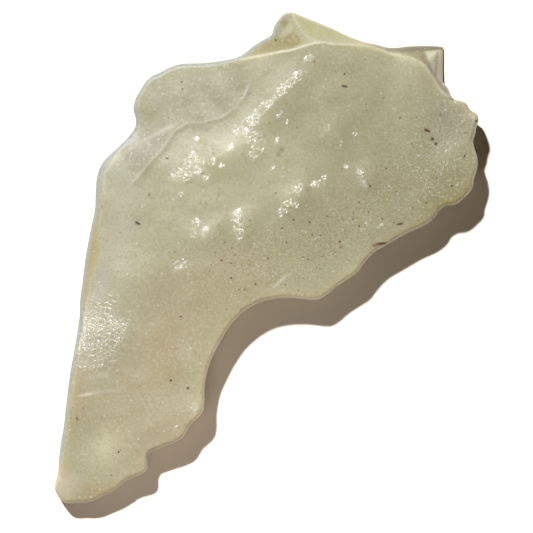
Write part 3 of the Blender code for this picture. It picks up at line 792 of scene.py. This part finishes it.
# Soft noise in the skin and the glass: the size of its blotches in mm, its detail and roughness.
MOTTLES = {
    "clouds": (3.4, 3.0, 0.55),
    "mottle": (0.4, 2.0, 0.7),
    "grit": (0.2, 1.0, 0.6),
    "flecks": (0.32, 2.0, 0.7),
    "fleck patches": (1.5, 2.0, 0.5),
    "breaks": (0.55, 1.0, 0.5),
    "frost": (0.3, 2.0, 0.5),
}
mottles = {}
for name, (size, detail, roughness) in MOTTLES.items():
    blotches = {"Vector": place, "Scale": 1 / size, "Detail": detail, "Roughness": roughness}
    mottles[name] = node("ShaderNodeTexNoise", blotches, "Fac")

# The glass's colour is that of its skin, turned towards other colours in turn: each layer is a
# colour and how much of it there is. First come soft clouds, a fine mottle and grit, with more
# cloudy glass on one side of each and more clear glass on the other.
layers = []
for name, cloudy, clear in (("clouds", 0.18, 0.14), ("mottle", 0.6, 0.55), ("grit", 0.8, 0.9)):
    for layer_colour, far_end, strength in ((CLOUDY_GLASS, 0.75, cloudy), (CLEAR_GLASS, 0.25, clear)):
        spans = {0: mottles[name], 1: 0.5, 2: far_end, 3: 0.0, 4: strength}
        amount = node("ShaderNodeMapRange", spans, **SMOOTH)
        if name == "grit":
            amount = node("ShaderNodeMath", {0: amount, 1: skin["speckled"]}, operation="MULTIPLY")
        layers.append((layer_colour, amount))

# White flecks are tiny bruises of the skin, in patches, and thickest where it is grainy.
flecks = None
for source, low_from, high_from, low_to, high_to in (
    (mottles["flecks"], 0.56, 0.68, 0.0, 1.0),
    (mottles["fleck patches"], 0.4, 0.6, 0.2, 1.0),
    (skin["grainy"], 0.0, 1.0, 0.15, 0.7),
):
    spans = {0: source, 1: low_from, 2: high_from, 3: low_to, 4: high_to}
    share_there = node("ShaderNodeMapRange", spans, **SMOOTH)
    if flecks is None:
        flecks = share_there
    else:
        flecks = node("ShaderNodeMath", {0: flecks, 1: share_there}, operation="MULTIPLY")
layers.append((PALE_BRUISE_AND_HIGHLIGHT, flecks))

# Brown specks of dust and iron minerals shut in the glass. The largest have places of their own:
# x, y, length, width, heading in degrees.
SPECKS = [
    (-16.7, 4.5, 0.75, 0.32, -28),
    (10.1, 22.2, 0.75, 0.30, -10),
    (20.8, 16.5, 0.75, 0.34, -22),
    (21.5, 15.4, 0.42, 0.38, 0),
    (21.95, 14.8, 0.42, 0.34, 0),
    (14.9, 1.85, 1.30, 0.30, 5),
    (17.3, 4.4, 0.75, 0.26, 10),
    (9.5, 2.1, 0.28, 0.26, 0),
    (12.0, 4.1, 0.24, 0.22, 0),
    (13.4, 9.3, 0.26, 0.24, 0),
    (5.9, 3.0, 0.22, 0.22, 0),
    (2.0, 3.8, 0.24, 0.22, 0),
    (-1.4, -3.4, 0.24, 0.22, 0),
    (-4.6, -2.6, 0.26, 0.24, 0),
    (-5.8, -0.3, 0.26, 0.24, 0),
    (-11.1, -7.6, 0.24, 0.24, 0),
    (-12.4, -15.9, 0.30, 0.26, 0),
    (-10.2, -16.9, 0.32, 0.26, 80),
    (-19.2, -25.2, 0.26, 0.22, 0),
    (-24.6, -20.9, 0.40, 0.16, -70),
    (-15.2, 8.2, 0.24, 0.22, 0),
    (-11.0, 22.8, 0.24, 0.24, 0),
    (-10.9, 21.9, 0.22, 0.22, 0),
    (1.2, 28.3, 0.26, 0.26, 0),
    (27.2, 17.7, 0.30, 0.26, 0),
    (25.7, 13.2, 0.45, 0.18, 60),
    (24.0, 9.3, 0.26, 0.24, 0),
    (20.7, 7.1, 0.24, 0.22, 0),
    (-12.9, 12.9, 0.45, 0.20, -15),
    (2.7, 5.9, 0.24, 0.20, 0),
    (1.2, 8.4, 0.20, 0.18, 0),
    (3.5, 4.9, 0.30, 0.18, 0),
    (5.6, 4.6, 0.22, 0.20, 0),
    (7.9, 5.4, 0.20, 0.20, 0),
    (2.6, 2.0, 0.20, 0.18, 0),
    (0.2, -0.1, 0.22, 0.20, 0),
    (4.7, 0.1, 0.18, 0.18, 0),
    (-4.6, -0.7, 0.20, 0.18, 0),
    (-5.4, 2.0, 0.18, 0.16, 0),
    (12.0, 7.2, 0.20, 0.18, 0),
    (13.2, 5.9, 0.18, 0.16, 0),
    (11.2, 5.0, 0.20, 0.18, 0),
    (15.5, 11.6, 0.20, 0.18, 0),
    (21.5, 5.1, 0.18, 0.18, 0),
    (10.1, 23.8, 0.36, 0.18, 60),
]
RUSTY_SPECKS = [
    (14.1, 1.65, 0.90, 0.30, 15),
    (18.9, 6.5, 0.34, 0.26, 0),
    (16.5, 4.6, 0.30, 0.22, 30),
    (9.6, 1.4, 0.30, 0.24, 0),
    (-4.1, 0.4, 0.26, 0.24, 0),
    (25.8, 16.2, 0.30, 0.22, 40),
    (6.2, 25.4, 0.30, 0.24, 0),
    (21.2, 8.9, 0.28, 0.24, 0),
    (-4.5, 1.3, 0.30, 0.24, 0),
    (7.2, 0.2, 0.30, 0.18, 0),
    (6.5, -1.3, 0.24, 0.20, 0),
    (-2.8, -4.1, 0.26, 0.20, 0),
    (-3.6, -4.1, 0.24, 0.20, 0),
    (16.8, 8.6, 0.28, 0.18, 45),
]
BLURRED_SPECKS = [
    (2.0, 14.0, 0.70, 0.60, 0),
    (1.6, 13.4, 0.60, 0.50, 0),
    (-1.2, 15.6, 0.70, 0.60, 0),
    (-10.5, -0.2, 0.75, 0.40, 20),
    (-7.7, 16.6, 0.60, 0.50, 0),
    (-6.9, 13.5, 0.45, 0.40, 0),
    (5.4, 8.8, 0.60, 0.45, 60),
    (2.2, 0.8, 0.45, 0.40, 0),
    (-6.2, 8.2, 0.40, 0.35, 0),
    (-7.8, 7.0, 0.45, 0.35, 0),
    (-8.6, 7.1, 0.40, 0.30, 0),
    (14.0, 13.5, 0.45, 0.30, 0),
    (22.6, 18.5, 0.50, 0.40, 0),
    (-21.8, 11.4, 0.60, 0.40, 0),
    (-2.4, 21.2, 0.90, 0.60, 40),
    (-9.8, 9.9, 0.40, 0.36, 0),
    (-10.3, 9.8, 0.40, 0.36, 0),
    (-8.3, 10.9, 0.40, 0.36, 0),
]
ROUND_ENOUGH = 0.75  # a speck is drawn as a circle where its width is more than this of its length
SPECK_REACH = 0.62  # of a speck's length
SPECK_FLOOR = (2.6, 3.0)  # height from which the specks show, so that none is on the underside
SPOT_CORE, SPOT_EDGE = 0.5, 1.4  # shares of a scattered spot's radius, where it starts and ends to fade
CHANCE_BLEND = 0.15


def speck_mask(table, core, edge_at):
    """1 inside each speck of the table, 0 outside, by the nearest speck's circle or ellipse."""
    nearest = None
    for x, y, length, width, heading in table:
        centre = (x, y, 0)
        if width > ROUND_ENOUGH * length:
            ends = {0: from_above, 1: centre}
            away = node("ShaderNodeVectorMath", ends, "Value", operation="DISTANCE")
            reach = SPECK_REACH * (length + width) / 2
            away = node("ShaderNodeMath", {0: away, 1: reach}, operation="DIVIDE")
        else:
            ellipse = {
                "Vector": from_above,
                "Location": centre,
                "Rotation": (0, 0, math.radians(heading)),
                "Scale": (SPECK_REACH * length, SPECK_REACH * width, 1),
            }
            inside = node("ShaderNodeMapping", ellipse, vector_type="TEXTURE")
            away = node("ShaderNodeVectorMath", {0: inside}, "Value", operation="LENGTH")
        if nearest is None:
            nearest = away
        else:
            nearest = node("ShaderNodeMath", {0: nearest, 1: away}, operation="MINIMUM")
    spans = {0: nearest, 1: core, 2: edge_at, 3: 1.0, 4: 0.0}
    return node("ShaderNodeMapRange", spans, **SMOOTH)


def scattered(cell, radius, chance, extra):
    """Round spots of this radius in mm, at most one to a cell, with more where it is speckled."""
    cells = node("ShaderNodeTexVoronoi", {"Vector": place, "Scale": 1 / cell}).node
    lot = node("ShaderNodeSeparateColor", {0: cells.outputs["Color"]}, 1)
    more = node("ShaderNodeMath", {0: skin["speckled"], 1: extra}, operation="MULTIPLY")
    lot = node("ShaderNodeMath", {0: lot, 1: more}, operation="ADD")
    fade = [end * radius / cell for end in (SPOT_CORE, SPOT_EDGE)]
    spans = {0: cells.outputs["Distance"], 1: fade[0], 2: fade[1], 3: 1.0, 4: 0.0}
    spot = node("ShaderNodeMapRange", spans, **SMOOTH)
    spans = {0: lot, 1: 1 - chance, 2: 1 + CHANCE_BLEND - chance, 3: 0.0, 4: 1.0}
    drawn = node("ShaderNodeMapRange", spans, **SMOOTH)
    return node("ShaderNodeMath", {0: spot, 1: drawn}, operation="MULTIPLY")


# Placed specks show on the upper side alone. The smaller ones and the bubbles are scattered.
height = node("ShaderNodeSeparateXYZ", {0: place}, 2)
spans = {0: height, 1: SPECK_FLOOR[0], 2: SPECK_FLOOR[1], 3: 0.0, 4: 1.0}
on_top = node("ShaderNodeMapRange", spans, **SMOOTH)
specks, blurred, rusty = [
    node("ShaderNodeMath", {0: speck_mask(*look), 1: on_top}, operation="MULTIPLY")
    for look in ((SPECKS, 0.55, 1.25), (BLURRED_SPECKS, 0.2, 1.5), (RUSTY_SPECKS, 0.4, 1.3))
]
for layer_colour, mask, strength in (
    (SPECK_BROWN, blurred, 0.3),
    (SPECK_RUST, rusty, 0.75),
    (SPECK_BROWN, scattered(1.30, 0.15, 0.12, 0.22), 0.7),
    (SPECK_BROWN, scattered(0.83, 0.11, 0.18, 0.55), 0.65),
    (PALE_BRUISE_AND_HIGHLIGHT, scattered(0.97, 0.13, 0.35, 0.35), 0.5),
    (SPECK_BROWN, specks, 0.92),
):
    amount = node("ShaderNodeMath", {0: mask, 1: strength}, operation="MULTIPLY")
    layers.append((layer_colour, amount))

# The skin is rough where frosted, and smooth and wet-looking in the fresh patches. Those are
# rippled, or pitted like a web, so that their sunny sides shine as short curved strokes.
BREAKS, LEAST_UNBROKEN = (0.42, 0.55), 0.45  # the noise that breaks the patches up, and what it leaves
WANDER_SIZE, WANDER = 0.8, 0.7  # how the pits and ripples stray
PIT_SIZE, RIDGE_WIDTH, RIDGE_HEIGHT = 0.72, 0.15, 0.05
RIPPLE_SIZE, RIPPLE_HEIGHT = 0.26, 0.085
STROKE_HEADING, STROKE_STRETCH = 70.0, (2.2, 0.75, 1.0)
WALL_HEADING, WALL_SLOPE = 117.0, 0.28  # the way the sunny walls of the dents face
GLOSSY_LEAN, WEB_LEAN = 0.95, 0.5  # how far the fresh skin leans like a sunny wall
# How pale the web's ridges turn, partly frosting and partly painted light, and how much painted sheen
# the glossy patches get.
GLOSSY_SHEEN_PAINT, RIDGE_AND_SHEEN_PALENESS = 0.2, 0.42
WORN_SHARE, FROST_HEIGHT = 0.16, 0.014  # of the ripples and pits, and the frosting, on the body
GLOSSY_COAT, WEB_COAT, COAT_SPAN = 0.3, 0.4, (0.12, 0.5)

spans = {0: mottles["breaks"], 1: BREAKS[0], 2: BREAKS[1], 3: LEAST_UNBROKEN, 4: 1.0}
broken = node("ShaderNodeMapRange", spans, **SMOOTH)
glossy = node("ShaderNodeMath", {0: skin["glossy"], 1: broken}, operation="MULTIPLY")
web = skin["web"]
fresh = node("ShaderNodeMath", {0: glossy, 1: web}, operation="MAXIMUM")
wander = {"Vector": place, "Scale": 1 / WANDER_SIZE, "Detail": 1.0}
wander = node("ShaderNodeTexNoise", wander, "Color")
wander = node("ShaderNodeVectorMath", {0: wander, "Scale": WANDER}, operation="SCALE")
wandered = node("ShaderNodeVectorMath", {0: place, 1: wander}, operation="ADD")
pits = node(
    "ShaderNodeTexVoronoi",
    {"Vector": wandered, "Scale": 1 / PIT_SIZE},
    "Distance",
    feature="DISTANCE_TO_EDGE",
    voronoi_dimensions="2D",
)
ridges = node("ShaderNodeMapRange", {0: pits, 1: 0.0, 2: RIDGE_WIDTH, 3: 1.0, 4: 0.0}, **SMOOTH)
ridges = node("ShaderNodeMath", {0: ridges, 1: broken}, operation="MULTIPLY")
ridges = node("ShaderNodeMath", {0: ridges, 1: web}, operation="MULTIPLY")
strokes = {
    "Vector": wandered,
    "Rotation": (0, 0, math.radians(STROKE_HEADING)),
    "Scale": STROKE_STRETCH,
}
strokes = node("ShaderNodeMapping", strokes, vector_type="TEXTURE")
ripples = {"Vector": strokes, "Scale": 1 / RIPPLE_SIZE, "Detail": 1.0, "Roughness": 0.5}
ripples = node("ShaderNodeTexNoise", ripples, "Fac")
raised_ridges = node("ShaderNodeMath", {0: ridges, 1: RIDGE_HEIGHT}, operation="MULTIPLY")
raised_ripples = node("ShaderNodeMath", {0: ripples, 1: RIPPLE_HEIGHT}, operation="MULTIPLY")
raised_ripples = node("ShaderNodeMath", {0: raised_ripples, 1: fresh}, operation="MULTIPLY")
fresh_height = node("ShaderNodeMath", {0: raised_ridges, 1: raised_ripples}, operation="ADD")

# The web's ridges turn paler, partly frosted and partly painted light, and the glossy patches get a
# painted sheen round their glints.
pale_ridges_and_sheen = node("ShaderNodeMath", {0: glossy, 1: GLOSSY_SHEEN_PAINT}, operation="MULTIPLY")
pale_ridges_and_sheen = node("ShaderNodeMath", {0: ridges, 1: pale_ridges_and_sheen}, operation="MAXIMUM")
pale_ridges_and_sheen = node("ShaderNodeMath", {0: pale_ridges_and_sheen, 1: RIDGE_AND_SHEEN_PALENESS}, operation="MULTIPLY")
layers.append((PALE_BRUISE_AND_HIGHLIGHT, pale_ridges_and_sheen))
colour = node("ShaderNodeAttribute", {}, "Color", attribute_name="skin_colour")
for layer_colour, amount in layers:
    blend = {0: amount, MIX_A: colour, MIX_B: linear(layer_colour)}
    colour = node("ShaderNodeMix", blend, MIX_RESULT, data_type="RGBA")

turn = math.radians(WALL_HEADING)
sunny_wall = Vector((math.cos(turn) * WALL_SLOPE, math.sin(turn) * WALL_SLOPE, 1)).normalized()
upright = node("ShaderNodeTexCoord", {}, "Normal")
glossy_lean = node("ShaderNodeMath", {0: glossy, 1: GLOSSY_LEAN}, operation="MULTIPLY")
web_lean = node("ShaderNodeMath", {0: web, 1: WEB_LEAN}, operation="MULTIPLY")
steep = node("ShaderNodeMath", {0: glossy_lean, 1: web_lean}, operation="MAXIMUM")
lean = {0: steep, LEAN_A: upright, LEAN_B: sunny_wall}
lean = node("ShaderNodeMix", lean, LEAN_RESULT, data_type="VECTOR")
lean = node("ShaderNodeVectorMath", {0: lean}, operation="NORMALIZE")
fresh_skin = node("ShaderNodeBump", {"Height": fresh_height, "Normal": lean, "Distance": MM})
worn_height = node("ShaderNodeMath", {0: fresh_height, 1: WORN_SHARE}, operation="MULTIPLY")
frost_height = {0: mottles["frost"], 1: FROST_HEIGHT}
frost_height = node("ShaderNodeMath", frost_height, operation="MULTIPLY")
worn_height = node("ShaderNodeMath", {0: worn_height, 1: frost_height}, operation="ADD")
worn_skin = node("ShaderNodeBump", {"Height": worn_height, "Distance": MM})
glossy_coat, web_coat = [
    node(
        "ShaderNodeMapRange",
        {0: patch, 1: COAT_SPAN[0], 2: COAT_SPAN[1], 3: 0.0, 4: weight},
        **SMOOTH,
    )
    for patch, weight in ((glossy, GLOSSY_COAT), (web, WEB_COAT))
]

surface = {
    "Base Color": colour,
    "Roughness": 0.5,
    "IOR": GLASS_IOR,
    "Normal": worn_skin,
    "Subsurface Weight": 0.85,
    "Subsurface Radius": (1.0, 0.95, 0.7),
    "Subsurface Scale": 3 * MM,
    "Transmission Weight": 0.3,
    "Coat Weight": node("ShaderNodeMath", {0: glossy_coat, 1: web_coat}, operation="ADD"),
    "Coat Roughness": 0.23,
    "Coat IOR": 1.5,
    "Coat Normal": fresh_skin,
}
surface = node("ShaderNodeBsdfPrincipled", surface)
absorbed = {"Color": linear(ABSORBED), "Density": ABSORPTION}
absorbed = node("ShaderNodeVolumeAbsorption", absorbed)
node("ShaderNodeOutputMaterial", {"Surface": surface, "Volume": absorbed})
gridded.materials.append(glass)

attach(stone, "root")
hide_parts("desert_glass")


# ================================================================ the floor
# A plain pale sheet of warm white card, wide enough to fill every view.
CARD = "#e8e0d4"
CARD_SIZE = 4.0
FLOOR_GAP = 0.05 * MM

card = bpy.data.materials.new("warm_white_card_matt")
card.use_nodes = True
card_shader = card.node_tree.nodes["Principled BSDF"]
card_shader.inputs["Base Color"].default_value = linear(CARD)
card_shader.inputs["Roughness"].default_value = 0.9
card_shader.inputs["Specular IOR Level"].default_value = 0.1
work = bmesh.new()
bmesh.ops.create_grid(work, x_segments=1, y_segments=1, size=CARD_SIZE / 2)
bmesh.ops.translate(work, verts=work.verts, vec=(0, 0, -FLOOR_GAP))
floor_mesh = bpy.data.meshes.new("card_floor")
work.to_mesh(floor_mesh)
work.free()
floor_mesh.materials.append(card)
floor = bpy.data.objects.new("card_floor", floor_mesh)
bpy.context.scene.collection.objects.link(floor)


# ================================================================ the light
# A small strong far lamp from behind and a little to the left throws a crisp shadow towards the
# front. A small warm soft box hangs close, in front of the bay, and its light falls off to the back.
KEY_AZIMUTH, KEY_ELEVATION, KEY_SPREAD = 117.0, 57.5, 3.0
KEY_STRENGTH, KEY_COLOUR = 6.25, (1.0, 1.0, 1.0)
BOX_AZIMUTH, BOX_ELEVATION, BOX_DISTANCE, BOX_SIZE = 256.8, 53.6, 57.5 * MM, 30 * MM
BOX_POWER, BOX_COLOUR = 0.0084, (1.0, 0.86, 0.74)
ROOM_LIGHT, ROOM_STRENGTH = (0.022, 0.019, 0.015, 1.0), 1.0


def shine(name, kind, azimuth, elevation, distance, power, colour, **settings):
    """A lamp of this kind at this distance and in this direction, aimed at the stone."""
    lamp = bpy.data.lights.new(name, kind)
    lamp.energy = power
    lamp.color = colour
    for setting, value in settings.items():
        setattr(lamp, setting, value)
    turned, raised = math.radians(azimuth), math.radians(elevation)
    level = math.cos(raised)
    towards = Vector((math.cos(turned) * level, math.sin(turned) * level, math.sin(raised)))
    shown = bpy.data.objects.new(name, lamp)
    shown.matrix_world = towards.to_track_quat("Z", "Y").to_matrix().to_4x4()
    shown.location = towards * distance
    shown.visible_camera = False
    bpy.context.scene.collection.objects.link(shown)


key_spread = math.radians(KEY_SPREAD)
key_place = (KEY_AZIMUTH, KEY_ELEVATION, 1.0)
box_place = (BOX_AZIMUTH, BOX_ELEVATION, BOX_DISTANCE)
shine("key_lamp", "SUN", *key_place, KEY_STRENGTH, KEY_COLOUR, angle=key_spread)
shine("soft_box", "AREA", *box_place, BOX_POWER, BOX_COLOUR, size=BOX_SIZE)

room = bpy.data.worlds.new("soft_room_light")
room.use_nodes = True
room_light = room.node_tree.nodes["Background"]
room_light.inputs["Color"].default_value = ROOM_LIGHT
room_light.inputs["Strength"].default_value = ROOM_STRENGTH
bpy.context.scene.world = room
